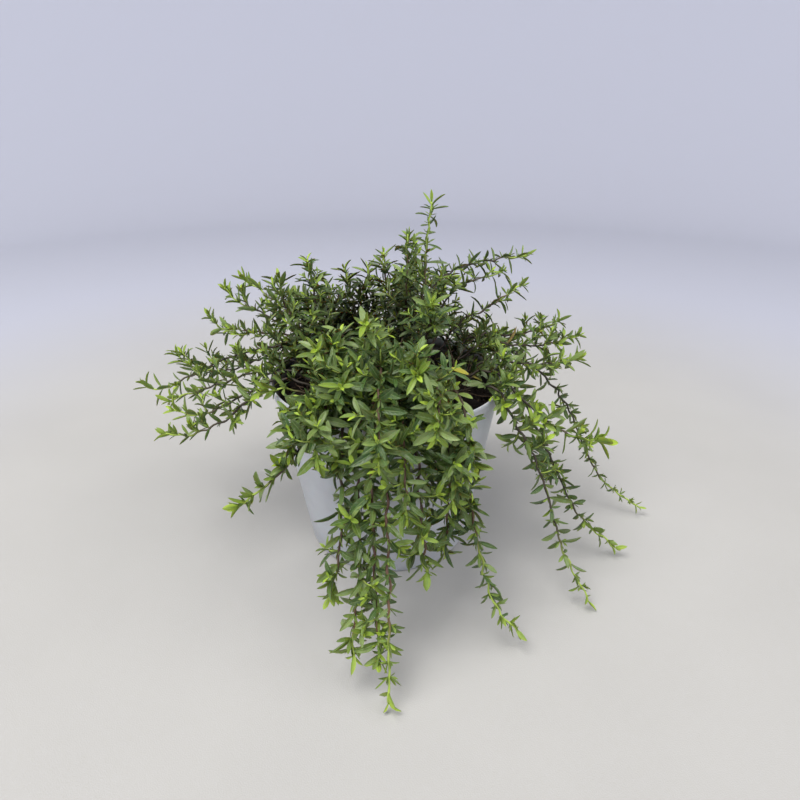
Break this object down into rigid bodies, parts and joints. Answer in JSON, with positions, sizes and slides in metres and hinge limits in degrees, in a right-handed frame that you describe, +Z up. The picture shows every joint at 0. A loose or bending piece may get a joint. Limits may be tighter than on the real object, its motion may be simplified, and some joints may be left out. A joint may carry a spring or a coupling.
{
  "type": "potted savory",
  "caption": "Trailing savory herb in a plain round tapered plastic pot: leafy stems arch over the rim and hang down all round.",
  "frame": {"origin": "centre of the pot's foot, on the surface that the pot stands on", "axes": "+Z up along the pot's axis, the side seen first faces -Y, +X to its right"},
  "size_m": [0.2959, 0.2429, 0.1833],
  "materials": {
    "pot_plastic": "smooth moulded plastic with a soft sheen",
    "potting_soil": "rough dark peat and bark crumbs",
    "savory_foliage": "small leaves with a faint waxy sheen on thin stems"
  },
  "bodies": {
    "root": {"pot": "pot_plastic", "soil": "potting_soil", "stem_left_1": "savory_foliage", "stem_left_2": "savory_foliage", "stem_left_3": "savory_foliage", "stem_left_4": "savory_foliage", "stem_left_5": "savory_foliage", "stem_left_6": "savory_foliage", "stem_left_7": "savory_foliage", "stem_left_8": "savory_foliage", "stem_left_9": "savory_foliage", "stem_left_10": "savory_foliage", "stem_front_1": "savory_foliage", "stem_front_2": "savory_foliage", "stem_front_3": "savory_foliage", "stem_front_4": "savory_foliage", "stem_front_5": "savory_foliage", "stem_front_6": "savory_foliage", "stem_right_1": "savory_foliage", "stem_right_2": "savory_foliage", "stem_right_3": "savory_foliage", "stem_right_4": "savory_foliage", "stem_right_5": "savory_foliage", "stem_right_6": "savory_foliage", "stem_right_7": "savory_foliage", "stem_right_8": "savory_foliage", "stem_right_9": "savory_foliage", "stem_right_10": "savory_foliage", "stem_crown_1": "savory_foliage", "stem_crown_2": "savory_foliage", "stem_crown_3": "savory_foliage", "stem_crown_4": "savory_foliage", "stem_crown_5": "savory_foliage", "stem_crown_6": "savory_foliage", "stem_crown_7": "savory_foliage", "stem_crown_8": "savory_foliage", "stem_crown_9": "savory_foliage", "stem_crown_10": "savory_foliage", "stem_crown_11": "savory_foliage", "stem_brow_1": "savory_foliage", "stem_brow_2": "savory_foliage", "stem_brow_3": "savory_foliage", "stem_brow_4": "savory_foliage", "stem_brow_5": "savory_foliage", "stem_brow_6": "savory_foliage", "stem_brow_7": "savory_foliage", "stem_brow_8": "savory_foliage", "stem_brow_9": "savory_foliage", "stem_brow_10": "savory_foliage", "stem_brow_11": "savory_foliage", "stem_brow_12": "savory_foliage", "stem_back_1": "savory_foliage", "stem_back_2": "savory_foliage", "stem_back_3": "savory_foliage", "stem_back_4": "savory_foliage", "stem_back_5": "savory_foliage", "stem_back_6": "savory_foliage", "stem_back_7": "savory_foliage", "stem_back_8": "savory_foliage", "stem_back_9": "savory_foliage"}
  },
  "joints": []
}
